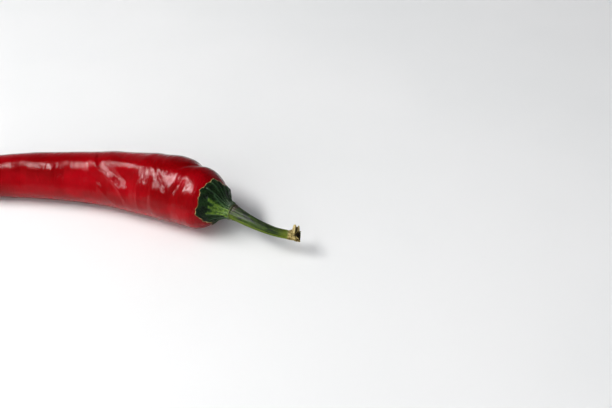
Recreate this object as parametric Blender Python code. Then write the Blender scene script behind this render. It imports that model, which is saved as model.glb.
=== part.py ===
"""A ripe red chilli pepper lying on its side: the pod, its green calyx and the curved stalk.

All three pieces are lofted round one spine that runs from the stalk's broken end to the pod's tip.
A place on the pepper is given by a station and an angle. The station is the distance along the spine from
the pod's base: positive towards the tip, negative along the stalk. The angle goes round the spine: 0 on top,
90 on the near side (-Y), 180 underneath and 270 on the far side (+Y).
Lengths are in millimetres and angles in degrees up to add_piece, which makes the meshes in metres.
The pepper rests on z = 0, and the middle of its outline seen from above is at the origin.
"""

import bpy
import numpy as np

MM = 0.001

# The spine: where the pod's base is, and which way the pepper heads there, seen from above.
BASE = (68.0, -8.6)
TIP = 168.0
STALK_END = -28.7
# (station, degrees by which the direction to the tip turns from -X towards +Y)
HEADING = (
    (-40, -4), (-32, -1), (-24, 7), (-16, 23), (-9, 34), (0, 34), (8, 28.5), (16, 23.5), (26, 21.5),
    (47, 13.5), (67, 6.5), (94, -2), (130, -12), (168, -17),
)
# (station, height of the stalk's centre above the table)
STALK_HEIGHT = (
    (-40, 7.0), (-30, 7.25), (-22, 7.95), (-15, 9.05), (-9, 9.85), (-4, 10.3), (0, 10.5), (6, 10.95),
)
STALK_INTO_POD = 12.0
SPINE_STEP = 0.25
TANGENT_STEP = 1.0
REST_SINK = 0.25
TIP_LIFT = 1.5
TIP_LIFT_FROM = 130.0

# The pod: (station, radius) along its body, and how its two ends are rounded.
BODY = (
    (-1, 11.2), (9, 11.4), (18, 11.7), (27, 11.4), (40, 10.45), (58, 9.2), (76, 8.4), (94, 7.5),
    (115, 6.25), (138, 4.4), (156, 2.7), (168, 1.5),
)
POD_BASE = 2.1
DOME_LENGTH = 9.9
DOME_POWER = 2.6
DOME_FAR = {"angle": -75, "longer": 7.5, "spread": 55}
TIP_ROUND = 3.0
TIP_RINGS = (0, 35, 65)
# Furrows between the pod's chambers: (angle at the base, turn per mm, depth, reach, spread in degrees)
FURROWS = ((150, -0.2, 0.45, 22, 20), (228, 0.3, 0.6, 26, 19))
# The fold that nips the far shoulder, and the lobe that swells behind it.
FOLD = {"station": 13.0, "lean": 0.035, "depth": 1.75, "width": 2.7, "angle": -62, "spread": 49}
LOBE = {"station": 19.5, "height": 0.3, "width": 4.0, "angle": -40, "spread": 34}
# Soft swells across the pod: (station, height, width, slant over a quarter turn)
SWELLS = (
    (10, 0.30, 3.4, -3.0), (22, 0.34, 3.0, 0.0), (30.5, 0.30, 3.0, 2.5), (42, 0.38, 4.2, -4.0),
    (60, 0.18, 5.0, 1.0), (74, 0.12, 5.0, 0.0),
)
SWELL_FACES = 45
# The share of a swell's height that goes all the way round.
SWELL_ROUND = 0.55

# The calyx: its neck, (station, radius), and its teeth, (angle, station, sag of the edge to the next tooth).
NECK_END = -3.2
NECK = ((-4, 2.65), (-3.2, 2.8), (-2.4, 2.95), (-1.3, 3.2), (-0.2, 3.75), (0.9, 4.65), (1.8, 5.7), (2.8, 7.0))
TEETH = (
    (-48, 4.2, 1.4), (-5, 5.7, 0.4), (34, 6.4, 0.5), (83, 5.7, 2.0), (160, 4.1, 1.1), (205, 4.5, 1.3),
    (258, 4.9, 1.4),
)
SAG_POWER = 0.6
GAP = 0.3
CALYX_THICKNESS = 0.4
NECK_BLEND = 0.5

# The stalk: (station, radius), the ribs along it, and its dry, flared end.
STALK = (
    (-30, 1.65), (-28, 1.65), (-25, 1.6), (-22, 1.6), (-19.5, 1.62), (-16, 1.78), (-13, 1.92), (-9, 2.15),
    (-5, 2.5), (-3, 2.8),
)
RIBS = 5
RIB_HEIGHT = 0.07
# Lobes of the dry end: (station, length along the stalk, angle, spread in degrees, height)
END_LOBES = (
    (-26.75, 0.6, -4, 26, 3.1), (-28.3, 0.6, -18, 30, 1.1), (-28.2, 0.8, 165, 45, 0.6),
    (-25.0, 0.7, 10, 60, 0.35), (-27.0, 1.1, 100, 40, 0.70),
)
# The near side of the dry end is broken off shorter.
RIM_NOTCH = {"angle": 75, "spread": 40, "depth": 1.3, "fades": 4.0}
CUP_DEPTH = 1.6
# Rings of the cup: (share of its depth, share of the rim's radius)
CUP_RINGS = ((0.9, 0.35), (0.25, 0.7))

# How finely each piece is divided.
POD_AROUND = 32
POD_DOME_RINGS = 8
POD_RING_SPACING = 3.2
CALYX_AROUND = 56
CALYX_RINGS = 9
STALK_AROUND = 28
STALK_RING_SPACING = 0.5


def smooth(rows, at):
    """The value at each of these stations on a smooth curve through rows of (station, value)."""
    stations, values = np.array(rows, float).T
    slopes = np.gradient(values, stations)
    at = np.clip(np.asarray(at, float), stations[0], stations[-1])
    i = np.clip(np.searchsorted(stations, at, side="right") - 1, 0, len(stations) - 2)
    gap = stations[i + 1] - stations[i]
    t = (at - stations[i]) / gap
    start = (1 + 2 * t) * (1 - t) ** 2 * values[i] + t * (1 - t) ** 2 * gap * slopes[i]
    end = (3 - 2 * t) * t**2 * values[i + 1] - (1 - t) * t**2 * gap * slopes[i + 1]
    return start + end


def hump(offset, width):
    return np.exp(-((offset / width) ** 2))


def turn(angle, middle):
    """Degrees from middle to angle, the short way round."""
    return (angle - middle + 180) % 360 - 180


def blend_max(a, b, softness):
    """The larger of a and b, with the corner between them rounded."""
    return (a + b + np.sqrt((a - b) ** 2 + softness**2)) / 2


def spine_track():
    """Stations from the stalk's end to the tip, and the spine's point at each."""
    stations = np.arange(STALK_END - 2, TIP + 2, SPINE_STEP)
    heading = np.radians(smooth(HEADING, stations))
    steps = np.stack([-np.cos(heading), np.sin(heading)], 1)
    plan = np.vstack([[0, 0], np.cumsum((steps[1:] + steps[:-1]) / 2 * SPINE_STEP, axis=0)])
    plan += np.array(BASE) - plan[np.argmin(abs(stations))]
    into_pod = np.clip(stations / STALK_INTO_POD, 0, 1)
    into_pod = into_pod**2 * (3 - 2 * into_pod)
    height = (1 - into_pod) * smooth(STALK_HEIGHT, stations) + into_pod * (smooth(BODY, stations) - REST_SINK)
    height += TIP_LIFT * np.clip((stations - TIP_LIFT_FROM) / (TIP - TIP_LIFT_FROM), 0, 1) ** 2
    return stations, np.column_stack([plan, height])


TRACK = spine_track()


def spine(station):
    """The spine's point at each station."""
    stations, points = TRACK
    return np.stack([np.interp(station, stations, points[:, axis]) for axis in range(3)], -1)


def place(station, radius, angle):
    """Points at these stations, distances from the spine and angles round it."""
    station, radius, angle = np.broadcast_arrays(station, radius, angle)
    along = spine(station + TANGENT_STEP) - spine(station - TANGENT_STEP)
    along /= np.linalg.norm(along, axis=-1, keepdims=True)
    near = np.cross([0, 0, 1], along)
    near /= np.linalg.norm(near, axis=-1, keepdims=True)
    up = np.cross(along, near)
    turned = np.radians(angle)[..., None]
    return spine(station) + radius[..., None] * (np.cos(turned) * up + np.sin(turned) * near)


def pod_radius(station, angle, grow=0.0):
    """The pod's radius, with its rounded ends, furrows, fold and swells, or of a skin larger by grow."""
    far = hump(turn(angle, DOME_FAR["angle"]), DOME_FAR["spread"])
    dome_length = DOME_LENGTH + DOME_FAR["longer"] * far + grow
    short_of_dome = np.clip(1 - (station - POD_BASE + grow) / dome_length, 0, 1)
    dome = (1 - short_of_dome**DOME_POWER) ** (1 / DOME_POWER)
    past_round = np.clip(1 - (TIP - station) / TIP_ROUND, 0, 1)
    tip = np.sqrt(1 - past_round**2)
    radius = smooth(BODY, station)
    for middle, twist, depth, reach, spread in FURROWS:
        radius = radius - depth * hump(station, reach) * hump(turn(angle, middle + twist * station), spread)
    fold_line = FOLD["station"] + FOLD["lean"] * turn(angle, LOBE["angle"])
    fold = hump(station - fold_line, FOLD["width"]) * hump(turn(angle, FOLD["angle"]), FOLD["spread"])
    lobe = hump(station - LOBE["station"], LOBE["width"]) * hump(turn(angle, LOBE["angle"]), LOBE["spread"])
    radius = radius - FOLD["depth"] * fold + LOBE["height"] * lobe
    facing = turn(angle, SWELL_FACES)
    for middle, height, width, slant in SWELLS:
        swell = hump(station - middle - slant * facing / 90, width)
        radius = radius + height * swell * (SWELL_ROUND + (1 - SWELL_ROUND) * np.cos(np.radians(facing)))
    return (radius + grow) * dome * tip


def around(count):
    return np.arange(count) * 360.0 / count


def dome_stations(count, length):
    """Stations from just off the base's pole to the end of the dome, evenly spread along its curve."""
    turned = np.radians(np.linspace(0, 90, count + 1)[1:])
    return POD_BASE + length * (1 - np.cos(turned) ** (2 / DOME_POWER))


def pod_mesh():
    """The pod's rings and poles. Its underside is flat where it rests on the table."""
    body = np.arange(POD_BASE + DOME_LENGTH + POD_RING_SPACING, TIP - TIP_ROUND, POD_RING_SPACING)
    tip = TIP - TIP_ROUND * (1 - np.sin(np.radians(TIP_RINGS)))
    stations = np.concatenate([dome_stations(POD_DOME_RINGS, DOME_LENGTH), body, tip])[:, None]
    angles = around(POD_AROUND)[None, :]
    rings = place(stations, pod_radius(stations, angles), angles)
    rings[..., 2] = np.maximum(rings[..., 2], 0)
    return spine(POD_BASE), rings, spine(TIP)


def calyx_edge(angle):
    """The station that the calyx reaches at each angle: pointed teeth, and edges that sag between them."""
    angle = (angle - TEETH[0][0]) % 360 + TEETH[0][0]
    station = np.zeros_like(angle)
    following = TEETH[1:] + ((TEETH[0][0] + 360, TEETH[0][1], 0),)
    for (start, reach, sag), (end, next_reach, _) in zip(TEETH, following):
        t = np.clip((angle - start) / (end - start), 0, 1)
        edge = reach + (next_reach - reach) * t - sag * np.sin(np.pi * t) ** SAG_POWER
        station = np.where((angle >= start) & (angle <= end), edge, station)
    return station


def calyx_mesh():
    """The calyx's rings and poles: along its neck, over the pod's shoulder to the teeth and back inside."""
    angles = around(CALYX_AROUND)[None, :]
    edge = calyx_edge(angles)
    t = np.linspace(0, 1, CALYX_RINGS)[:, None]
    outer_station = NECK_END + (edge - NECK_END) * t
    skin = GAP + CALYX_THICKNESS
    skin_radius = pod_radius(np.maximum(outer_station, POD_BASE - skin), angles, skin)
    outer = blend_max(smooth(NECK, outer_station), skin_radius, NECK_BLEND * (1 - t))
    outer = place(outer_station, outer, angles)
    turned = np.radians(np.linspace(90, 0, CALYX_RINGS + 1)[:-1])[:, None]
    inner_length = DOME_LENGTH + GAP
    inner_base = POD_BASE - GAP
    most = np.arccos(np.clip(1 - (edge - inner_base) / inner_length, 0, 1) ** (DOME_POWER / 2))
    inner_station = inner_base + inner_length * (1 - np.cos(most * turned / turned[0]) ** (2 / DOME_POWER))
    inner = place(inner_station, pod_radius(inner_station, angles, GAP), angles)
    return spine(NECK_END), np.concatenate([outer, inner]), spine(inner_base)


def stalk_radius(station, angle):
    """The stalk's radius, with its ribs and the lobes of its dry end."""
    radius = smooth(STALK, station) * (1 + RIB_HEIGHT / 2 * np.cos(np.radians(RIBS * angle)))
    for middle, length, lobe_angle, spread, height in END_LOBES:
        radius = radius + height * hump(station - middle, length) * hump(turn(angle, lobe_angle), spread)
    return radius


def notched(station, angle):
    """The stalk's stations, pulled back towards the calyx where the dry end is broken off."""
    notch = RIM_NOTCH["depth"] * hump(turn(angle, RIM_NOTCH["angle"]), RIM_NOTCH["spread"])
    return station + notch * np.clip(1 - (station - STALK_END) / RIM_NOTCH["fades"], 0, 1)


def stalk_mesh():
    """The stalk's rings and poles, from the bottom of the cup at its dry end to the calyx."""
    angles = around(STALK_AROUND)[None, :]
    stations = np.arange(STALK_END, NECK_END - GAP, STALK_RING_SPACING)
    stations = np.append(stations, NECK_END - GAP)[:, None]
    wall = place(notched(stations, angles), stalk_radius(stations, angles), angles)
    rim = stalk_radius(STALK_END, angles)
    rim_station = notched(STALK_END, angles)
    bottom = STALK_END + CUP_DEPTH
    cup = []
    for down, across in CUP_RINGS:
        cup.append(place(rim_station + (bottom - rim_station) * down, rim * across, angles))
    return spine(bottom), np.concatenate(cup + [wall]), spine(NECK_END - GAP)


def material(name, colour, roughness):
    made = bpy.data.materials.new(name)
    made.use_nodes = True
    shader = made.node_tree.nodes["Principled BSDF"]
    shader.inputs["Base Color"].default_value = (*colour, 1)
    shader.inputs["Roughness"].default_value = roughness
    shader.inputs["Metallic"].default_value = 0
    made.diffuse_color = (*colour, 1)
    return made


def add_piece(name, first_pole, rings, last_pole, look):
    """A closed object from rings of points between two poles."""
    count, size = rings.shape[:2]
    points = np.vstack([first_pole, rings.reshape(-1, 3), last_pole]) * MM
    last = len(points) - 1
    faces = []
    for j in range(size):
        beside = (j + 1) % size
        faces.append((0, 1 + j, 1 + beside))
        for i in range(count - 1):
            here, ahead = 1 + i * size, 1 + (i + 1) * size
            faces.append((here + j, ahead + j, ahead + beside, here + beside))
        end = 1 + (count - 1) * size
        faces.append((end + j, last, end + beside))
    mesh = bpy.data.meshes.new(name)
    mesh.from_pydata(points.tolist(), [], faces)
    mesh.materials.append(look)
    mesh.shade_smooth()
    bpy.context.scene.collection.objects.link(bpy.data.objects.new(name, mesh))


def main():
    for old in list(bpy.data.objects):
        bpy.data.objects.remove(old, do_unlink=True)
    add_piece("pod", *pod_mesh(), material("red_skin", (0.42, 0.004, 0.008), 0.22))
    add_piece("calyx", *calyx_mesh(), material("green_calyx", (0.03, 0.09, 0.02), 0.5))
    add_piece("stalk", *stalk_mesh(), material("green_stalk", (0.10, 0.17, 0.03), 0.5))


main()
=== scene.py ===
"""The looks of a ripe red chilli pepper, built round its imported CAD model.

The three pieces are lofted round the CAD model's own spine, which is repeated here, only much finer.
A place on the pepper is given by a station and an angle. The station is the distance along the spine
from the pod's base: positive towards the tip, negative along the stalk. The angle goes round the spine:
0 on top, 90 on the near side (-Y), 180 underneath and 270 on the far side (+Y).
Lengths are in millimetres and angles in degrees up to add_piece, which makes the meshes in metres.
"""

import math

import bpy
import numpy as np
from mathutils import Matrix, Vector, noise


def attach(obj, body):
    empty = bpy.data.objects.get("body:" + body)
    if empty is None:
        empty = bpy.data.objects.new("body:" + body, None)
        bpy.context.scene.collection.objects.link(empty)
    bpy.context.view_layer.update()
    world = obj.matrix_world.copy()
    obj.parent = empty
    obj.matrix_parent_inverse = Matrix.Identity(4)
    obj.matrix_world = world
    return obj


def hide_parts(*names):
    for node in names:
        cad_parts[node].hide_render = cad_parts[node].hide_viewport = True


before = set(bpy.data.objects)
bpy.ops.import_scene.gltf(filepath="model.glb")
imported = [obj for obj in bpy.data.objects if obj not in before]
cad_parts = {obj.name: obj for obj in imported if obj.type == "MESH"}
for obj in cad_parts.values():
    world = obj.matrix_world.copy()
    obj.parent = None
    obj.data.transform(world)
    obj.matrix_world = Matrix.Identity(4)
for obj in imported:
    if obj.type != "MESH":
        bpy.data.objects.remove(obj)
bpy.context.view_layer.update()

MM = 0.001

# ---- The CAD model's shape ----

# The spine: where the pod's base is, and which way the pepper heads there, seen from above.
BASE = (68.0, -8.6)
TIP = 168.0
STALK_END = -28.7
# (station, degrees by which the direction to the tip turns from -X towards +Y)
HEADING = (
    (-40, -4), (-32, -1), (-24, 7), (-16, 23), (-9, 34), (0, 34), (8, 28.5), (16, 23.5), (26, 21.5),
    (47, 13.5), (67, 6.5), (94, -2), (130, -12), (168, -17),
)
# (station, height of the stalk's centre above the table)
STALK_HEIGHT = (
    (-40, 7.0), (-30, 7.25), (-22, 7.95), (-15, 9.05), (-9, 9.85), (-4, 10.3), (0, 10.5), (6, 10.95),
)
STALK_INTO_POD = 12.0
SPINE_STEP = 0.25
TANGENT_STEP = 1.0
REST_SINK = 0.25
TIP_LIFT = 1.5
TIP_LIFT_FROM = 130.0

# The pod: (station, radius) along its body, and how its two ends are rounded.
BODY = (
    (-1, 11.2), (9, 11.4), (18, 11.7), (27, 11.4), (40, 10.45), (58, 9.2), (76, 8.4), (94, 7.5),
    (115, 6.25), (138, 4.4), (156, 2.7), (168, 1.5),
)
POD_BASE = 2.1
DOME_LENGTH = 9.9
DOME_POWER = 2.6
DOME_FAR = {"angle": -75, "longer": 7.5, "spread": 55}
TIP_ROUND = 3.0
# Furrows between the pod's chambers: (angle at the base, turn per mm, depth, reach, spread in degrees)
FURROWS = ((150, -0.2, 0.45, 22, 20), (228, 0.3, 0.6, 26, 19))
# The fold that nips the far shoulder, and the lobe that swells behind it.
FOLD = {"station": 13.0, "lean": 0.035, "depth": 1.75, "width": 2.7, "angle": -62, "spread": 49}
LOBE = {"station": 19.5, "height": 0.3, "width": 4.0, "angle": -40, "spread": 34}
# Soft swells across the pod: (station, height, width, slant over a quarter turn)
SWELLS = (
    (10, 0.30, 3.4, -3.0), (22, 0.34, 3.0, 0.0), (30.5, 0.30, 3.0, 2.5), (42, 0.38, 4.2, -4.0),
    (60, 0.18, 5.0, 1.0), (74, 0.12, 5.0, 0.0),
)
SWELL_FACES = 45
# The share of a swell's height that goes all the way round.
SWELL_ROUND = 0.55

# The calyx's neck, (station, radius), and its teeth, (angle, station, sag of the edge to the next tooth).
NECK_END = -3.2
NECK = (
    (-4, 2.65), (-3.2, 2.8), (-2.4, 2.95), (-1.3, 3.2), (-0.2, 3.75), (0.9, 4.65), (1.8, 5.7), (2.8, 7.0),
)
TEETH = (
    (-48, 4.2, 1.4), (-5, 5.7, 0.4), (34, 6.4, 0.5), (83, 5.7, 2.0), (160, 4.1, 1.1), (205, 4.5, 1.3),
    (258, 4.9, 1.4),
)
SAG_POWER = 0.6
NECK_BLEND = 0.5

# The stalk: (station, radius), and the ribs along it.
STALK = (
    (-30, 1.65), (-28, 1.65), (-25, 1.6), (-22, 1.6), (-19.5, 1.62), (-16, 1.78), (-13, 1.92), (-9, 2.15),
    (-5, 2.5), (-3, 2.8),
)
RIBS = 5

# ---- What the looks add to the pod ----

POD_AROUND = 208
POD_DOME_RINGS = 44
POD_RING_SPACING = 0.42
POD_TIP_RINGS = 12
# How far round the tip's rounding the last ring lies, in degrees.
POD_TIP_TURN = 84
# The tip and the skin stay this far inside the CAD model's.
TIP_INSET = 0.06
SHRINK = 0.07
REST_SOFTNESS = 0.12
# Detail fades out where the pod is thinner than this radius.
DETAIL_RADIUS = 3.0
# Unevenness of the skin: (height, length along the pod, length across it)
UNEVEN = ((0.08, 11.0, 8.0), (0.045, 2.6, 5.5), (0.012, 1.0, 3.0))
# Relief of the upper near face: (station, its slope towards the tip). The gentle stretches catch the light,
# and the steep ones between them don't.
SLOPES = (
    (7.6, 0.0), (9.2, -0.12), (10.5, -0.05), (12.6, 0.08), (13.0, -0.25), (15.0, -0.27), (15.5, 0.27),
    (17.2, 0.25), (17.7, -0.01), (20.4, -0.01), (22.0, 0.10), (23.8, 0.20), (24.3, -0.12), (25.3, -0.12),
    (25.9, 0.14), (28.0, 0.08), (29.4, 0.11), (29.9, -0.13), (37.0, -0.15), (37.6, 0.06), (40.0, 0.02),
    (42.0, 0.08), (44.2, 0.15), (44.8, -0.14), (50.4, -0.16), (51.0, 0.05), (57.8, 0.02), (58.4, -0.24),
    (60.8, -0.24), (61.3, 0.22), (65.8, 0.22), (66.4, 0.02), (70.0, -0.01), (74.6, 0.01), (75.2, -0.24),
    (77.6, -0.24), (78.1, 0.22), (80.8, 0.22), (81.4, 0.01), (95.0, 0.01), (100.0, 0.0),
)
# How much that slope grows for each degree round: (station, change)
SLOPE_TWIST = (
    (7.6, 0.0), (9.2, 0.004), (12.4, 0.004), (12.9, -0.013), (13.9, -0.013), (14.4, 0.0), (17.2, 0.0),
    (17.7, 0.004), (23.8, 0.004), (24.2, -0.024), (25.0, -0.024), (25.5, 0.004), (29.4, 0.004),
    (29.8, -0.014), (30.6, -0.014), (31.2, 0.0), (37.2, 0.0), (37.7, 0.004), (44.2, 0.004), (44.6, -0.028),
    (45.4, -0.028), (46.0, 0.0), (100.0, 0.0),
)
SLOPE_STEP = 0.125
# Where the relief starts to fade out towards the tip, and over what length.
SLOPE_FADE = (88.0, 20.0)
# How far along the stretches move for each degree round: (station, millimetres for each degree)
SLOPE_SLANT = (
    (4, 0.02), (22, 0.03), (25, 0.0), (28, 0.04), (33, -0.08), (38, -0.22), (45, -0.22), (52, -0.05),
    (60, 0.0),
)
SLOPE_FACE = {"angle": 42, "spread": 34}
# The same face is flatter than the CAD model's: (station, depth), and its half width.
FLAT_FACE = ((6, 0.25), (10, 0.50), (18, 0.75), (44, 0.65), (50, 0.15), (58, 0.0))
FLAT_ACROSS = 5.2
# Creases and pleats: (station, angle, height, width, spread in degrees, slant over a quarter turn)
FOLDS = (
    (15.3, -8, -0.42, 1.1, 24, 12.0), (11.0, 42, -0.10, 0.5, 22, 8.0), (21.3, 40, -0.16, 0.6, 24, -13.0),
    (39.2, 46, -0.10, 0.6, 24, -22.0), (27.6, 36, -0.07, 0.5, 18, 4.0), (16.5, 108, -0.25, 1.0, 22, 5.0),
    (13.2, 112, 0.20, 1.0, 22, 5.0), (45.5, 78, 0.20, 1.0, 26, -14.0),
)

# ---- What the looks add to the calyx ----

# Places across the calyx go from 0 at the neck to 1 at the edge.
CALYX_AROUND = 440
CALYX_RINGS = 96
CALYX_RING_POWER = 0.9
CALYX_INNER_RINGS = 24
# The radii at which the patterns of the edge and of the inside are laid out.
CALYX_EDGE_RADIUS = 9.0
CALYX_INNER_RADIUS = 5.0
CALYX_LIFT = 0.04
CALYX_SKIN = 0.34
CALYX_SHRINK = 0.14
# How ragged its edge is: (height, size, seed)
CALYX_RAGGED = ((0.34, 1.6, 11), (0.18, 0.55, 14))
# Crinkles: (height at the neck, height that roughness adds, size, seed)
CALYX_CRINKLES = ((0.10, 0.22, 1.3, 12), (0.04, 0.08, 0.55, 13))
# Where roughness sets in and over what length, and the same for the detail's fading at the edge.
CALYX_ROUGH = (0.35, 0.4)
CALYX_THIN = (0.86, 0.14)
# How the detail and the ribs grow out of the neck: (value at the neck, rate)
NECK_START = (0.1, 9)
RIB_START = (0.15, 9)
# Ribs: (angle at the neck, angle at the end, how far out it ends, height, width, painted light: how much
# lighter it is coloured, as if lit)
CALYX_RIBS = (
    (50, 43, 0.70, 0.42, 0.62, 0.92), (76, 63, 0.68, 0.40, 0.60, 0.85), (98, 79, 0.66, 0.42, 0.75, 0.92),
    (31, 25, 0.64, 0.34, 0.38, 0.30), (17, 21, 0.90, 0.32, 0.26, 0.20), (6, 7, 0.93, 0.34, 0.26, 0.18),
    (-5, -5, 0.95, 0.34, 0.28, 0.14), (-19, -21, 0.90, 0.30, 0.34, 0.12), (-38, -42, 0.92, 0.32, 0.36, 0.12),
    (122, 112, 0.80, 0.30, 0.42, 0.22), (146, 156, 0.86, 0.34, 0.45, 0.20),
    (182, 184, 0.78, 0.34, 0.50, 0.45), (206, 206, 0.90, 0.36, 0.42, 0.40),
    (232, 234, 0.74, 0.34, 0.50, 0.45), (258, 258, 0.90, 0.34, 0.42, 0.40),
    (286, 288, 0.76, 0.32, 0.46, 0.40),
)
# A rib's width at the neck, and how much it widens, as shares of the width above.
RIB_WIDENS = (0.75, 0.45)
RIB_END_FADE = 0.10
RIB_KNOB = {"height": 0.35, "before_end": 0.05, "length": 0.07}
RIB_SWAY = {"degrees": 2.5, "rate": 6}
# Painted light: the part on the near side coloured lighter, as if lit, and where it ends and over what
# length.
PAINTED_NEAR_LIGHT = {"angle": 64, "spread": 32, "lit_amount": 0.84}
PAINTED_NEAR_LIGHT_FADE = (0.52, 0.2)
# Where its far side is pressed in, and how deep.
CALYX_FAR = {"middle": 0.6, "length": 0.3, "facing": -45, "spread": 36}
CALYX_FAR_DEPTH = 0.52

# ---- What the looks add to the stalk ----

STALK_AROUND = 144
STALK_RING_SPACING = 0.13
# How far its end stays inside the CAD model's, and how far its other end goes into the calyx.
END_INSET = 0.22
STALK_INTO_CALYX = 1.2
STALK_SHRINK = 0.10
# Ridges: degrees that they turn for each millimetre, and their height as a share of the radius.
STALK_TWIST = 1.6
RIDGE_HEIGHT = 0.0525
RIDGE_POWER = 0.8
FINE_RIDGES = {"each": 3, "share": 0.3, "wander": 1.5, "length": 3}
STALK_GRAIN = {"height": 0.05, "size": (3.0, 0.5, 0.5), "seed": 21}
# The stalk draws in a little at the calyx's neck, and a brown collar marks its upper side there.
WAIST = {"before": 0.35, "length": 0.3, "depth": 0.12}
COLLAR = {"before": 0.9, "length": 1.1, "angle": -20, "power": 1.5}
# The side, near and underneath, that is a lighter green.
LIGHTER_SIDE = 125
# The dry end: where it starts, and its lumps, (height, size, seed).
DRY = {"station": -23.7, "fade": 1.0, "slant": 0.5, "angle": 60}
DRY_LUMPS = ((0.22, 1.1, 22), (0.10, 0.45, 24))
RIPENING = {"from": -19.0, "length": 5.5}
# Lobes of the dry end: (station, length along the stalk, angle, spread in degrees, height)
END_LOBES = ((-28.2, 0.8, 165, 45, 0.6), (-25.0, 0.7, 10, 60, 0.35), (-27.0, 1.1, 110, 36, 0.52))
# The near side of the dry end is broken off shorter, with a ragged rim.
RIM_NOTCH = {"angle": 34, "spread": 42, "depth": 2.0, "fades": 2.6}
RIM_RAGGED = {"height": 0.22, "radius": 2.2, "size": 0.9, "seed": 23}
# Thin flaps that stand up from the dry end: (station, half thickness, angle, half width in degrees, height)
FLAPS = (
    (-26.25, 0.68, -2, 26, 2.75), (-27.0, 1.05, -30, 20, 1.5), (-27.75, 0.42, -24, 20, 2.0),
    (-26.3, 0.62, 50, 46, 0.30),
)
# Millimetres that a flap leans for each degree round, and the powers that make its edges square.
FLAP_LEAN = 0.010
FLAP_POWERS = {"along": 8, "across": 4}
FLAP_FORK = {"angle": 4, "spread": 8, "depth": 0.18}
# Painted shade: a dark patch on the outside between the flaps, as if the hollow showed there.
FLAP_GAP_SHADE = {"middle": -27.15, "length": 0.5, "facing": -10, "spread": 26}
# The hollow in the end. Floor and mouth are shares of the rim's radius, and pattern is its noise's radius.
CUP = {"depth": 1.7, "rings": 14, "floor": 0.22, "mouth": 0.88, "power": 0.6, "pattern": 1.0}
# Painted shade that darkens the hollow inwards: (value at the rim, rate)
CUP_SHADE = (0.3, 4)

SEED_SHIFT = (17.3, 41.7, 29.9)


def smooth(rows, at):
    """The value at each of these stations on a smooth curve through rows of (station, value)."""
    stations, values = np.array(rows, float).T
    slopes = np.gradient(values, stations)
    at = np.clip(np.asarray(at, float), stations[0], stations[-1])
    i = np.clip(np.searchsorted(stations, at, side="right") - 1, 0, len(stations) - 2)
    gap = stations[i + 1] - stations[i]
    t = (at - stations[i]) / gap
    start = (1 + 2 * t) * (1 - t) ** 2 * values[i] + t * (1 - t) ** 2 * gap * slopes[i]
    end = (3 - 2 * t) * t**2 * values[i + 1] - (1 - t) * t**2 * gap * slopes[i + 1]
    return start + end


def hump(offset, width):
    """1 where offset is 0, and soft all the way down to 0."""
    return np.exp(-((offset / width) ** 2))


def turn(angle, middle):
    """Degrees from middle to angle, the short way round."""
    return (angle - middle + 180) % 360 - 180


def spot(station, angle, middle, length, facing, spread):
    """1 in the middle of a soft spot on the pepper, and 0 well away from it."""
    return hump(station - middle, length) * hump(turn(angle, facing), spread)


def wave(turned):
    """1 where turned, in radians, is 0, and 0 half a turn away."""
    return 0.5 + 0.5 * np.cos(turned)


def side(angle, facing):
    """1 on the side that faces this way, down to 0 on the opposite side."""
    return wave(np.radians(angle - facing))


def blend_max(a, b, softness):
    """The larger of a and b, with the corner between them rounded."""
    return (a + b + np.sqrt((a - b) ** 2 + softness**2)) / 2


def ease(t):
    """0 to 1 with soft ends."""
    t = np.clip(t, 0, 1)
    return t * t * (3 - 2 * t)


def rise(value, start, length):
    """0 to 1 with soft ends, as value goes this length from start."""
    return ease((value - start) / length)


def start_up(value, first, rate):
    """From near 0 to 1 at this rate, as value goes up from 0."""
    return ease(value * rate + first)


def grain(points, seed):
    """Smooth noise from -1 to 1, with features about one unit across."""
    shifted = points + np.array(SEED_SHIFT) * seed
    values = [noise.noise(Vector(point)) for point in shifted.reshape(-1, 3)]
    return np.array(values).reshape(points.shape[:-1])


def lumps(places, rows):
    """Noise added up from rows of (height, size, seed)."""
    return sum(height * grain(places / size, seed) for height, size, seed in rows)


def spine_track():
    """Stations from the stalk's end to the tip, and the spine's point at each."""
    stations = np.arange(STALK_END - 2, TIP + 2, SPINE_STEP)
    heading = np.radians(smooth(HEADING, stations))
    steps = np.stack([-np.cos(heading), np.sin(heading)], 1)
    plan = np.vstack([[0, 0], np.cumsum((steps[1:] + steps[:-1]) / 2 * SPINE_STEP, axis=0)])
    plan += np.array(BASE) - plan[np.argmin(abs(stations))]
    into_pod = ease(stations / STALK_INTO_POD)
    in_pod = smooth(BODY, stations) - REST_SINK
    height = (1 - into_pod) * smooth(STALK_HEIGHT, stations) + into_pod * in_pod
    height += TIP_LIFT * np.clip((stations - TIP_LIFT_FROM) / (TIP - TIP_LIFT_FROM), 0, 1) ** 2
    return stations, np.column_stack([plan, height])


TRACK = spine_track()


def spine(station):
    """The spine's point at each station."""
    stations, points = TRACK
    return np.stack([np.interp(station, stations, points[:, axis]) for axis in range(3)], -1)


def place(station, radius, angle):
    """Points at these stations, distances from the spine and angles round it."""
    station, radius, angle = np.broadcast_arrays(station, radius, angle)
    along = spine(station + TANGENT_STEP) - spine(station - TANGENT_STEP)
    along /= np.linalg.norm(along, axis=-1, keepdims=True)
    near = np.cross([0, 0, 1], along)
    near /= np.linalg.norm(near, axis=-1, keepdims=True)
    up = np.cross(along, near)
    turned = np.radians(angle)[..., None]
    return spine(station) + radius[..., None] * (np.cos(turned) * up + np.sin(turned) * near)


def straightened(station, radius, angle):
    """Where these places would be if the pepper were straight: patterns are laid out on it."""
    station, radius, angle = np.broadcast_arrays(station, radius, angle)
    turned = np.radians(angle)
    return np.stack([station, radius * np.cos(turned), radius * np.sin(turned)], -1)


def around(count):
    """This many angles all the way round, as one row."""
    return (np.arange(count) * 360.0 / count)[None, :]


# ---- The pod ----


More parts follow.
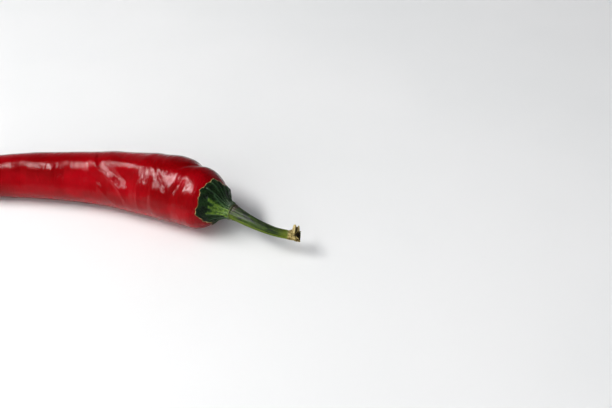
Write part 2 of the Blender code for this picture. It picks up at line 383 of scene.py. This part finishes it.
def pod_radius(station, angle, grow=0.0):
    """The pod's radius, with its rounded ends, furrows, fold and swells, for a skin that much larger."""
    far = hump(turn(angle, DOME_FAR["angle"]), DOME_FAR["spread"])
    dome_length = DOME_LENGTH + DOME_FAR["longer"] * far + grow
    short_of_dome = np.clip(1 - (station - POD_BASE + grow) / dome_length, 0, 1)
    dome = (1 - short_of_dome**DOME_POWER) ** (1 / DOME_POWER)
    past_round = np.clip(1 - (TIP - station) / TIP_ROUND, 0, 1)
    tip = np.sqrt(1 - past_round**2)
    radius = smooth(BODY, station)
    for middle, twist, depth, reach, spread in FURROWS:
        radius = radius - depth * spot(station, angle, 0, reach, middle + twist * station, spread)
    fold_line = FOLD["station"] + FOLD["lean"] * turn(angle, LOBE["angle"])
    fold = spot(station, angle, fold_line, FOLD["width"], FOLD["angle"], FOLD["spread"])
    lobe = spot(station, angle, LOBE["station"], LOBE["width"], LOBE["angle"], LOBE["spread"])
    radius = radius - FOLD["depth"] * fold + LOBE["height"] * lobe
    facing = turn(angle, SWELL_FACES)
    share = SWELL_ROUND + (1 - SWELL_ROUND) * np.cos(np.radians(facing))
    for middle, height, width, slant in SWELLS:
        radius = radius + height * hump(station - middle - slant * facing / 90, width) * share
    return (radius + grow) * dome * tip


def unevenness(station, angle):
    """How far the skin stands in from its smooth shape, never out."""
    flat = straightened(station, smooth(BODY, station), angle)
    total = np.zeros(flat.shape[:-1])
    for seed, (height, along, across) in enumerate(UNEVEN, 1):
        total += height * (grain(flat / np.array([along, across, across]), seed) - 1) / 2
    return total


def added_up(rows, station):
    """The height that these slopes make, added up along the pod."""
    fine = np.arange(rows[0][0], rows[-1][0], SLOPE_STEP)
    height = np.cumsum(np.interp(fine, *np.array(rows).T)) * SLOPE_STEP
    height *= 1 - rise(fine, *SLOPE_FADE)
    return np.interp(station, fine, height - height.max() / 2)


def face_relief(station, angle):
    """Height of the relief, the flatter part and the folds of the pod's upper near face."""
    aside = turn(angle, SLOPE_FACE["angle"])
    along = station - smooth(SLOPE_SLANT, station) * aside
    relief = added_up(SLOPES, along) + added_up(SLOPE_TWIST, along) * aside
    total = relief * hump(aside, SLOPE_FACE["spread"])
    across = np.radians(aside) * smooth(BODY, station)
    total -= smooth(FLAT_FACE, station) * hump(across, FLAT_ACROSS)
    for middle, facing, height, width, spread, slant in FOLDS:
        slanted = middle + slant * turn(angle, facing) / 90
        total += height * spot(station, angle, slanted, width, facing, spread)
    return total


def make_pod():
    turned = np.radians(np.linspace(0, 90, POD_DOME_RINGS + 1)[1:])
    dome = POD_BASE + DOME_LENGTH * (1 - np.cos(turned) ** (2 / DOME_POWER))
    body = np.arange(dome[-1] + POD_RING_SPACING, TIP - TIP_ROUND, POD_RING_SPACING)
    turned = np.radians(np.linspace(0, POD_TIP_TURN, POD_TIP_RINGS))
    tip = TIP - TIP_INSET - TIP_ROUND * (1 - np.sin(turned))
    station = np.concatenate([dome, body, tip])[:, None]
    angle = around(POD_AROUND)
    radius = pod_radius(station, angle)
    fade = np.clip(radius / DETAIL_RADIUS, 0, 1)
    radius = radius + (unevenness(station, angle) + face_relief(station, angle) - SHRINK) * fade
    rings = place(station, radius, angle)
    rings[..., 2] = blend_max(rings[..., 2], 0, REST_SOFTNESS)
    skin = straightened(station, smooth(BODY, station), angle)
    pod = add_piece("pod_skin", spine(POD_BASE), rings, spine(TIP - TIP_INSET), pod_look(), {"skin": skin})
    finish_piece(pod, "pod")


# ---- The calyx ----


def calyx_edge(angle):
    """The station that the calyx reaches at each angle: pointed teeth, and edges that sag between them."""
    angle = (angle - TEETH[0][0]) % 360 + TEETH[0][0]
    station = np.zeros_like(angle)
    following = TEETH[1:] + ((TEETH[0][0] + 360, TEETH[0][1], 0),)
    for (start, reach, sag), (end, next_reach, _) in zip(TEETH, following):
        t = np.clip((angle - start) / (end - start), 0, 1)
        edge = reach + (next_reach - reach) * t - sag * np.sin(np.pi * t) ** SAG_POWER
        station = np.where((angle >= start) & (angle <= end), edge, station)
    return station


def calyx_ribs(out, radius, angle):
    """Height in millimetres of the ribs, and the painted light on them and on the near side. out goes from 0
    at the neck to 1 at the edge.
    """
    height = np.zeros(np.broadcast(out, angle).shape)
    painted_light = np.zeros_like(height)
    for at_neck, at_end, reach, high, wide, lit_amount in CALYX_RIBS:
        share = np.clip(out / reach, 0, 1)
        sway = RIB_SWAY["degrees"] * np.sin(RIB_SWAY["rate"] * out + at_end)
        aside = np.radians(turn(angle, at_neck + (at_end - at_neck) * share + sway)) * radius
        across = hump(aside, wide * (RIB_WIDENS[0] + RIB_WIDENS[1] * share))
        ends = 1 - rise(out, reach, RIB_END_FADE)
        knob = 1 + RIB_KNOB["height"] * hump(out - reach + RIB_KNOB["before_end"], RIB_KNOB["length"])
        height = np.maximum(height, high * across * ends * knob * start_up(out, *RIB_START))
        painted_light = np.maximum(painted_light, lit_amount * across * ends)
    # Painted light on the near side, fading out towards the edge.
    lit_patch = hump(turn(angle, PAINTED_NEAR_LIGHT["angle"]), PAINTED_NEAR_LIGHT["spread"]) * (1 - rise(out, *PAINTED_NEAR_LIGHT_FADE))
    return height, np.maximum(painted_light, PAINTED_NEAR_LIGHT["lit_amount"] * lit_patch)


def calyx_outer(out, station, angle):
    """The calyx's outer radius without its detail: the neck, blended into a skin over the pod."""
    skin = CALYX_LIFT + CALYX_SKIN
    over_pod = pod_radius(np.maximum(station, POD_BASE - skin), angle, skin)
    return blend_max(smooth(NECK, station), over_pod, NECK_BLEND * (1 - out))


def calyx_inner_stations(edge):
    """Stations of the rings inside the calyx, from its edge to where it starts over the pod's base."""
    base = POD_BASE - CALYX_LIFT
    length = DOME_LENGTH + CALYX_LIFT
    most = np.arccos(np.clip(1 - (edge - base) / length, 0, 1) ** (DOME_POWER / 2))
    share = np.linspace(1, 0, CALYX_INNER_RINGS + 1)[:-1, None]
    return base + length * (1 - np.cos(most * share) ** (2 / DOME_POWER))


def make_calyx():
    angle = around(CALYX_AROUND)
    edge = calyx_edge(angle) + lumps(straightened(0.0, CALYX_EDGE_RADIUS, angle), CALYX_RAGGED)
    out = np.linspace(0, 1, CALYX_RINGS)[:, None] ** CALYX_RING_POWER
    station = NECK_END + (edge - NECK_END) * out
    radius = calyx_outer(out, station, angle)
    height, painted_light = calyx_ribs(out, radius, angle)
    flat = straightened(station, radius, angle)
    detail = height - CALYX_SHRINK
    for at_neck, added, size, seed in CALYX_CRINKLES:
        detail = detail + (at_neck + added * rise(out, *CALYX_ROUGH)) * grain(flat / size, seed)
    detail = detail * (1 - rise(out, *CALYX_THIN)) * start_up(out, *NECK_START)
    outer = place(station, radius + detail - CALYX_FAR_DEPTH * spot(out, angle, **CALYX_FAR), angle)
    inner_station = calyx_inner_stations(edge)
    inner = place(inner_station, pod_radius(inner_station, angle, CALYX_LIFT), angle)
    layers = {"skin": np.concatenate([flat, straightened(inner_station, CALYX_INNER_RADIUS, angle)])}
    values = {"edge": edge - station, "rib": height, "painted_light": painted_light, "out": out}
    for name, value in values.items():
        layers[name] = joined(value, outer, 1 if name == "out" else 0, inner)
    rings = np.concatenate([outer, inner])
    base = spine(POD_BASE - CALYX_LIFT)
    calyx = add_piece("calyx_cap", spine(NECK_END), rings, base, calyx_look(), layers)
    finish_piece(calyx, "calyx")


# ---- The stalk ----


def stalk_ridges(station, angle):
    """Height of the ridges that run along the stalk, from 0 to 1."""
    turned = np.radians(RIBS * (angle - STALK_TWIST * station))
    wander = FINE_RIDGES["wander"] * np.sin(station / FINE_RIDGES["length"])
    fine = wave(FINE_RIDGES["each"] * turned + wander)
    return (1 - FINE_RIDGES["share"]) * wave(turned) ** RIDGE_POWER + FINE_RIDGES["share"] * fine


def notched(station, angle):
    """The stalk's stations, pulled back towards the calyx where the dry end is broken off."""
    notch = RIM_NOTCH["depth"] * hump(turn(angle, RIM_NOTCH["angle"]), RIM_NOTCH["spread"])
    rim = straightened(0.0, RIM_RAGGED["radius"], angle)
    ragged = RIM_RAGGED["height"] * (1 + grain(rim / RIM_RAGGED["size"], RIM_RAGGED["seed"]))
    return station + (notch + ragged) * np.clip(1 - (station - STALK_END) / RIM_NOTCH["fades"], 0, 1)


def flaps(station, angle):
    """Height of the flaps that stand up from the dry end: square-edged, and notched at the top."""
    total = np.zeros(np.broadcast(station, angle).shape)
    for middle, thickness, facing, width, height in FLAPS:
        ahead = (station - middle + FLAP_LEAN * turn(angle, facing)) / thickness
        aside = turn(angle, facing) / width
        flap = np.exp(-(ahead ** FLAP_POWERS["along"])) * np.exp(-(aside ** FLAP_POWERS["across"]))
        total = np.maximum(total, height * flap)
    return total * (1 - FLAP_FORK["depth"] * hump(turn(angle, FLAP_FORK["angle"]), FLAP_FORK["spread"]))


def how_dry(station, angle):
    """1 on the dry end and 0 on the green stalk."""
    line = DRY["station"] - DRY["slant"] * np.cos(np.radians(angle - DRY["angle"]))
    return 1 - ease((station - line) / DRY["fade"] + 0.5)


def stalk_outside(station, angle):
    """Radius of the stalk's outside, its straightened places, and the values of its layers."""
    ridges = stalk_ridges(station, angle)
    dry = how_dry(station, angle)
    radius = smooth(STALK, station) * (1 + RIDGE_HEIGHT * (2 * ridges - 1))
    flat = straightened(station, radius, angle)
    bark = grain(flat / np.array(STALK_GRAIN["size"]), STALK_GRAIN["seed"])
    radius = radius + STALK_GRAIN["height"] * bark
    radius = radius + lumps(flat, DRY_LUMPS) * dry - STALK_SHRINK
    for middle, length, facing, spread, height in END_LOBES:
        radius = radius + height * spot(station, angle, middle, length, facing, spread)
    standing = flaps(station, angle)
    to_neck = station - NECK_END
    radius = radius + standing - WAIST["depth"] * hump(to_neck + WAIST["before"], WAIST["length"])
    collar = hump(to_neck + COLLAR["before"], COLLAR["length"])
    values = {
        "ridge": ridges,
        "dry": dry,
        # Painted shade between the flaps.
        "hollow_shade": spot(station, angle, **FLAP_GAP_SHADE),
        "neck": collar * side(angle, COLLAR["angle"]) ** COLLAR["power"],
        "under": side(angle, LIGHTER_SIDE),
        "flap": standing,
        "ripe": ease((RIPENING["from"] - station) / RIPENING["length"]),
    }
    return radius, flat, values


def make_stalk():
    angle = around(STALK_AROUND)
    station = np.arange(STALK_END + END_INSET, NECK_END + STALK_INTO_CALYX, STALK_RING_SPACING)[:, None]
    radius, flat, values = stalk_outside(station, angle)
    wall = place(notched(station, angle), radius, angle)
    rim_station = notched(station[:1], angle)
    bottom = STALK_END + CUP["depth"]
    down = np.linspace(1, 0, CUP["rings"])[:-1, None]
    across = CUP["floor"] + (CUP["mouth"] - CUP["floor"]) * (1 - down) ** CUP["power"]
    cup = place(rim_station + (bottom - rim_station) * down, radius[0] * across, angle)
    cup_skin = straightened(STALK_END + CUP["depth"] * down, CUP["pattern"], angle)
    # Painted shade that deepens towards the bottom of the hollow.
    in_cup = {"dry": 1, "hollow_shade": start_up(down, *CUP_SHADE)}
    layers = {"skin": np.concatenate([cup_skin, flat])}
    for name, value in values.items():
        layers[name] = joined(in_cup.get(name, 0), cup, value, wall)
    rings = np.concatenate([cup, wall])
    stalk = add_piece("stalk_stem", spine(bottom), rings, spine(station[-1, 0]), stalk_look(), layers)
    finish_piece(stalk, "stalk")


# ---- Meshes ----


def joined(first, first_rings, second, second_rings):
    """A layer of two stretches of rings: each value is spread over all the points of its stretch."""
    parts = [(first, first_rings), (second, second_rings)]
    return np.concatenate([np.broadcast_to(value, rings.shape[:2]) for value, rings in parts])


def store_layer(mesh, name, values):
    """Stores a layer on the mesh. Each pole gets the mean of the ring beside it."""
    width = 3 if values.ndim == 3 else 1
    first_pole = values[0].reshape(-1, width).mean(0)
    last_pole = values[-1].reshape(-1, width).mean(0)
    flat = np.vstack([first_pole, values.reshape(-1, width), last_pole])
    attribute = mesh.attributes.new(name, "FLOAT_VECTOR" if width == 3 else "FLOAT", "POINT")
    attribute.data.foreach_set("vector" if width == 3 else "value", flat.astype(np.float32).ravel())


def add_piece(name, first_pole, rings, last_pole, look, layers):
    """A closed object from rings of points between two poles, with a value for each point in each layer."""
    count, size = rings.shape[:2]
    points = np.vstack([first_pole, rings.reshape(-1, 3), last_pole]) * MM
    index = 1 + np.arange(count * size).reshape(count, size)
    beside = np.roll(index, -1, axis=1)
    quads = np.stack([index[:-1], index[1:], beside[1:], beside[:-1]], -1).reshape(-1, 4)
    first = [(0, a, b) for a, b in zip(index[0].tolist(), beside[0].tolist())]
    last = [(a, len(points) - 1, b) for a, b in zip(index[-1].tolist(), beside[-1].tolist())]
    mesh = bpy.data.meshes.new(name)
    mesh.from_pydata(points.tolist(), [], first + quads.tolist() + last)
    for layer, values in layers.items():
        store_layer(mesh, layer, values)
    mesh.materials.append(look)
    mesh.shade_smooth()
    piece = bpy.data.objects.new(name, mesh)
    bpy.context.scene.collection.objects.link(piece)
    return piece


def finish_piece(piece, node):
    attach(piece, "root")
    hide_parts(node)


# ---- Materials ----

DEEP_RED = (0.19, 0.0001, 0.0015, 1)
BRIGHT_RED = (0.30, 0.0006, 0.006, 1)
STREAK_RED = (0.24, 0.001, 0.005, 1)
SPECK_PINK = (0.75, 0.22, 0.16, 1)

LEAF_BLACK = (0.0015, 0.005, 0.003, 1)
LEAF_GREEN = (0.011, 0.032, 0.007, 1)
RIB_GREEN = (0.036, 0.080, 0.036, 1)
# Painted light: the lit-looking green of the calyx's near side, dim and full.
PAINTED_LIGHT_DIM = (0.030, 0.080, 0.014, 1)
PAINTED_LIGHT_FULL = (0.18, 0.29, 0.035, 1)
SPOT_GREEN = (0.018, 0.050, 0.010, 1)
DASH_GREY = (0.26, 0.34, 0.20, 1)
SPECKLE_GREEN = (0.06, 0.11, 0.06, 1)
SCAR_TAN = (0.24, 0.22, 0.13, 1)
RIM_BROWN = (0.19, 0.10, 0.035, 1)
RIM_CREAM = (0.40, 0.33, 0.15, 1)

STALK_DARK = (0.010, 0.026, 0.002, 1)
STALK_GREEN = (0.036, 0.074, 0.004, 1)
FURROW_GREEN = (0.006, 0.014, 0.002, 1)
BLOTCH_GREEN = (0.006, 0.014, 0.007, 1)
UNDER_GREEN = (0.085, 0.125, 0.008, 1)
FIBRE_GREEN = (0.13, 0.18, 0.02, 1)
COLLAR_BROWN = (0.040, 0.022, 0.014, 1)
RIPE_GREEN = (0.15, 0.19, 0.010, 1)
DRY_BROWN = (0.10, 0.075, 0.022, 1)
DRY_TAN = (0.40, 0.32, 0.13, 1)
FLAP_TAN = (0.50, 0.41, 0.20, 1)
STAIN_BROWN = (0.05, 0.026, 0.010, 1)
# Painted shade in the hollow of the dry end and between its flaps.
HOLLOW_SHADE = (0.022, 0.013, 0.006, 1)

FLOOR_DARKER = (0.83, 0.84, 0.845, 1)
FLOOR_PALER = (0.86, 0.865, 0.87, 1)


class Look:
    """A material and short ways to add nodes to it. Sizes are in millimetres; they go along and across."""

    def __init__(self, name):
        self.material = bpy.data.materials.new(name)
        self.material.use_nodes = True
        self.tree = self.material.node_tree
        self.shader = self.tree.nodes["Principled BSDF"]

    def put(self, socket, value):
        if isinstance(value, bpy.types.NodeSocket):
            self.tree.links.new(value, socket)
        else:
            socket.default_value = value

    def node(self, kind, settings, inputs):
        made = self.tree.nodes.new("ShaderNode" + kind)
        for key, value in settings.items():
            setattr(made, key, value)
        for key, value in inputs.items():
            self.put(made.inputs[key], value)
        return made

    def layer(self, name, vector=False):
        made = self.node("Attribute", {"attribute_name": name}, {})
        return made.outputs["Vector" if vector else "Fac"]

    def scaled(self, vector, along, across):
        """The straightened coordinates with features of these sizes."""
        factors = (1 / along, 1 / across, 1 / across)
        return self.node("VectorMath", {"operation": "MULTIPLY"}, {0: vector, 1: factors}).outputs[0]

    def noise(self, skin, along, across, detail=2.0, roughness=0.5, distortion=0.0):
        inputs = {
            "Vector": self.scaled(skin, along, across), "Scale": 1.0, "Detail": detail,
            "Roughness": roughness, "Distortion": distortion,
        }
        return self.node("TexNoise", {}, inputs).outputs["Fac"]

    def ramp(self, factor, low, high, start=0.0, end=1.0):
        """factor from low to high, stretched to run from start to end."""
        inputs = {"Value": factor, "From Min": low, "From Max": high, "To Min": start, "To Max": end}
        return self.node("MapRange", {"interpolation_type": "SMOOTHSTEP"}, inputs).outputs["Result"]

    def patches(self, skin, along, across, detail, *limits):
        """Noise of this size, made into patches by ramp's limits."""
        return self.ramp(self.noise(skin, along, across, detail), *limits)

    def maths(self, operation, a, b):
        return self.node("Math", {"operation": operation}, {0: a, 1: b}).outputs[0]

    def mix(self, factor, a, b):
        made = self.node("Mix", {"data_type": "RGBA"}, {"Factor": factor})
        self.put(made.inputs[6], a)
        self.put(made.inputs[7], b)
        return made.outputs[2]

    def bump(self, height, depth, below=None):
        """A bump of this depth in millimetres, on top of the one below."""
        inputs = {"Height": height, "Distance": depth * MM, "Strength": 1.0}
        if below is not None:
            inputs["Normal"] = below
        return self.node("Bump", {}, inputs).outputs["Normal"]

    def finish(self, colour, roughness, normal, **constants):
        self.put(self.shader.inputs["Base Color"], colour)
        self.put(self.shader.inputs["Roughness"], roughness)
        self.put(self.shader.inputs["Normal"], normal)
        for name, value in constants.items():
            self.shader.inputs[name].default_value = value
        return self.material


def pod_look():
    """Waxy red skin: mottled, faintly streaked, with a few pale specks and fine wrinkles across it."""
    look = Look("chilli_skin")
    skin = look.layer("skin", vector=True)
    colour = look.mix(look.patches(skin, 16, 9, 3, 0.3, 0.7), DEEP_RED, BRIGHT_RED)
    colour = look.mix(look.patches(skin, 14, 1.1, 3, 0.5, 0.75, 0, 0.35), colour, STREAK_RED)
    cells = look.node("TexVoronoi", {}, {"Vector": look.scaled(skin, 4.2, 3.2), "Scale": 1.0})
    chosen = look.ramp(cells.outputs["Color"], 0.80, 0.82)
    speck = look.ramp(cells.outputs["Distance"], 0.05, 0.025)
    colour = look.mix(look.maths("MULTIPLY", chosen, speck), colour, SPECK_PINK)
    wrinkles = look.noise(skin, 0.9, 4.0, 3, 0.55, 0.6)
    pores = look.noise(skin, 0.28, 0.35)
    normal = look.bump(pores, 0.006, look.bump(wrinkles, 0.22))
    roughness = look.patches(skin, 5, 4, 3, 0.3, 0.7, 0.09, 0.14)
    return look.finish(colour, roughness, normal, IOR=1.27)


def calyx_look():
    """Dark green leaf with paler ribs, painted light in light green on its near side and ribs, pale dashes
    and a thin tan edge.
    """
    look = Look("calyx_leaf")
    skin = look.layer("skin", vector=True)
    rib = look.layer("rib")
    painted_light = look.layer("painted_light")
    edge = look.layer("edge")
    out = look.layer("out")
    leaf = look.mix(look.patches(skin, 2.4, 2.0, 3, 0.38, 0.62), LEAF_BLACK, LEAF_GREEN)
    leaf = look.mix(look.ramp(rib, 0.08, 0.34), leaf, RIB_GREEN)
    # Painted light: the near side and its ribs are coloured a lighter, yellower green, as if lit.
    lit = look.maths("ADD", painted_light, look.patches(skin, 1.5, 0.7, 3, 0.35, 0.65, -0.25, 0.08))
    lit_patch = look.mix(look.ramp(lit, 0.35, 1.05), PAINTED_LIGHT_DIM, PAINTED_LIGHT_FULL)
    colour = look.mix(look.ramp(lit, 0.12, 0.5), leaf, lit_patch)
    colour = look.mix(look.patches(skin, 0.75, 0.32, 3, 0.50, 0.64, 0, 0.65), colour, SPOT_GREEN)
    dashes = look.patches(skin, 0.9, 0.22, 2, 0.54, 0.70, 0, 0.55)
    dashes = look.maths("MULTIPLY", dashes, look.ramp(out, 0.75, 0.25))
    colour = look.mix(dashes, colour, DASH_GREY)
    colour = look.mix(look.patches(skin, 0.4, 0.35, 2, 0.58, 0.74, 0, 0.4), colour, SPECKLE_GREEN)
    colour = look.mix(look.ramp(out, 0.06, 0.0, 0, 0.4), colour, SCAR_TAN)
    from_edge = look.maths("ADD", edge, look.patches(skin, 0.9, 0.9, 2, 0.2, 0.8, -0.14, 0.12))
    rim = look.mix(look.patches(skin, 1.4, 1.4, 2, 0.4, 0.6), RIM_BROWN, RIM_CREAM)
    colour = look.mix(look.ramp(from_edge, 0.24, 0.12), colour, rim)
    normal = look.bump(look.noise(skin, 0.42, 0.34, 4, 0.6), 0.20)
    roughness = look.patches(skin, 1.2, 1.2, 2, 0.3, 0.7, 0.32, 0.55)
    return look.finish(colour, roughness, normal, IOR=1.26)


def stalk_look():
    """Fibrous green with dark blotches, lighter underneath, and a dry tan end with painted shade in its
    hollow and between its flaps.
    """
    look = Look("stalk_bark")
    skin = look.layer("skin", vector=True)
    dry = look.layer("dry")
    green = look.mix(look.patches(skin, 6, 1.6, 3, 0.38, 0.62), STALK_DARK, STALK_GREEN)
    green = look.mix(look.ramp(look.layer("ridge"), 0.45, 0.0, 0, 0.85), green, FURROW_GREEN)
    green = look.mix(look.patches(skin, 3.2, 1.2, 3, 0.50, 0.60, 0, 0.95), green, BLOTCH_GREEN)
    wander = look.patches(skin, 5, 0.8, 3, 0.3, 0.7, -0.15, 0.15)
    under = look.ramp(look.maths("ADD", look.layer("under"), wander), 0.72, 1.0)
    green = look.mix(under, green, UNDER_GREEN)
    fibres = look.noise(skin, 2.4, 0.24, 3)
    green = look.mix(look.ramp(fibres, 0.52, 0.75, 0, 0.45), green, FIBRE_GREEN)
    green = look.mix(look.ramp(look.layer("neck"), 0.2, 1.0, 0, 0.8), green, COLLAR_BROWN)
    green = look.mix(look.ramp(look.layer("ripe"), 0.0, 1.0, 0, 0.6), green, RIPE_GREEN)
    tan = look.mix(look.patches(skin, 0.9, 0.7, 3, 0.35, 0.62), DRY_BROWN, DRY_TAN)
    tan = look.mix(look.ramp(look.layer("flap"), 0.15, 0.5, 0, 0.75), tan, FLAP_TAN)
    tan = look.mix(look.patches(skin, 0.7, 0.5, 2, 0.56, 0.66, 0, 0.8), tan, STAIN_BROWN)
    colour = look.mix(dry, green, tan)
    # Painted shade: dark brown in the hollow and between the flaps.
    colour = look.mix(look.ramp(look.layer("hollow_shade"), 0.1, 1.0, 0, 0.9), colour, HOLLOW_SHADE)
    normal = look.bump(look.noise(skin, 0.5, 0.3, 3), 0.05, look.bump(fibres, 0.12))
    roughness = look.ramp(dry, 0.0, 1.0, 0.48, 0.85)
    return look.finish(colour, roughness, normal, IOR=1.28)


def floor_look():
    """A plain pale floor, very slightly uneven. Its noise is in metres."""
    look = Look("pale_floor")
    on_floor = look.node("TexCoord", {}, {}).outputs["Object"]
    wide = look.node("TexNoise", {}, {"Vector": on_floor, "Scale": 9.0, "Detail": 3.0})
    colour = look.mix(look.ramp(wide.outputs["Fac"], 0.3, 0.7), FLOOR_DARKER, FLOOR_PALER)
    fine = look.node("TexNoise", {}, {"Vector": on_floor, "Scale": 900.0, "Detail": 2.0})
    return look.finish(colour, 0.55, look.bump(fine.outputs["Fac"], 0.02))


# ---- Floor, lights and camera ----

CAMERA_AT = (95.35, -235.25, 190.7)
CAMERA_DOWN = 38.2
FOCAL_LENGTH = 50.0
SENSOR_WIDTH = 36.0
CLIP_START = 0.01
FLOOR_SIZE = 6.0
# (name, direction it comes from, distance in metres, width, height, power in watts, colour)
LIGHTS = (
    ("key_softbox", (-0.62, -0.17, 0.766), 1.1, 0.98, 0.17, 9.6, (1.0, 0.99, 0.975)),
    ("key_strip", (-0.62, -0.17, 0.766), 1.1, 0.96, 0.125, 48.0, (1.0, 0.985, 0.98)),
    ("front_fill", (-0.45, -0.85, 0.42), 1.2, 1.5, 0.75, 6.0, (1.0, 0.99, 0.98)),
    ("top_fill", (0.0, 0.1, 1.0), 1.6, 1.6, 1.6, 3.0, (0.95, 0.97, 1.0)),
)
# The strip is seen only as the reflection in the skin; the others only light what they fall on.
REFLECTED_LIGHT = "key_strip"
WORLD_COLOUR = (0.93, 0.95, 1.0, 1)
# The world's brightness changes from the first strength to the second between these heights, 0 to 1.
WORLD_GRADIENT = {"From Min": 0.02, "From Max": 0.70, "To Min": 0.45, "To Max": 0.07}


def make_floor():
    mesh = bpy.data.meshes.new("floor")
    half = FLOOR_SIZE / 2
    corners = [(-half, -half, 0), (half, -half, 0), (half, half, 0), (-half, half, 0)]
    mesh.from_pydata(corners, [], [(0, 1, 2, 3)])
    mesh.materials.append(floor_look())
    floor = bpy.data.objects.new("floor", mesh)
    bpy.context.scene.collection.objects.link(floor)


def make_lights():
    for name, direction, distance, width, height, power, colour in LIGHTS:
        light = bpy.data.lights.new(name, "AREA")
        light.shape = "ELLIPSE"
        light.size = width
        light.size_y = height
        light.energy = power
        light.color = colour
        lamp = bpy.data.objects.new(name, light)
        towards = Vector(direction).normalized()
        lamp.location = Vector((BASE[0] * MM, 0, 0)) + towards * distance
        lamp.rotation_euler = towards.to_track_quat("Z", "Y").to_euler()
        lamp.visible_glossy = name == REFLECTED_LIGHT
        lamp.visible_diffuse = name != REFLECTED_LIGHT
        bpy.context.scene.collection.objects.link(lamp)


def make_world():
    world = bpy.data.worlds.new("studio")
    world.use_nodes = True
    nodes = world.node_tree.nodes
    links = world.node_tree.links
    background = nodes["Background"]
    background.inputs["Color"].default_value = WORLD_COLOUR
    direction = nodes.new("ShaderNodeTexCoord").outputs["Generated"]
    split = nodes.new("ShaderNodeSeparateXYZ")
    strength = nodes.new("ShaderNodeMapRange")
    for name, value in WORLD_GRADIENT.items():
        strength.inputs[name].default_value = value
    links.new(direction, split.inputs[0])
    links.new(split.outputs["Z"], strength.inputs["Value"])
    links.new(strength.outputs["Result"], background.inputs["Strength"])
    bpy.context.scene.world = world
    bpy.context.scene.view_settings.view_transform = "Standard"
    bpy.context.scene.view_settings.look = "Medium High Contrast"


def make_camera():
    lens = bpy.data.cameras.new("camera")
    lens.lens = FOCAL_LENGTH
    lens.sensor_width = SENSOR_WIDTH
    lens.clip_start = CLIP_START
    camera = bpy.data.objects.new("camera", lens)
    camera.location = Vector(CAMERA_AT) * MM
    camera.rotation_euler = (math.radians(90 - CAMERA_DOWN), 0, 0)
    bpy.context.scene.collection.objects.link(camera)
    bpy.context.scene.camera = camera


make_camera()
make_floor()
make_lights()
make_world()
make_pod()
make_calyx()
make_stalk()
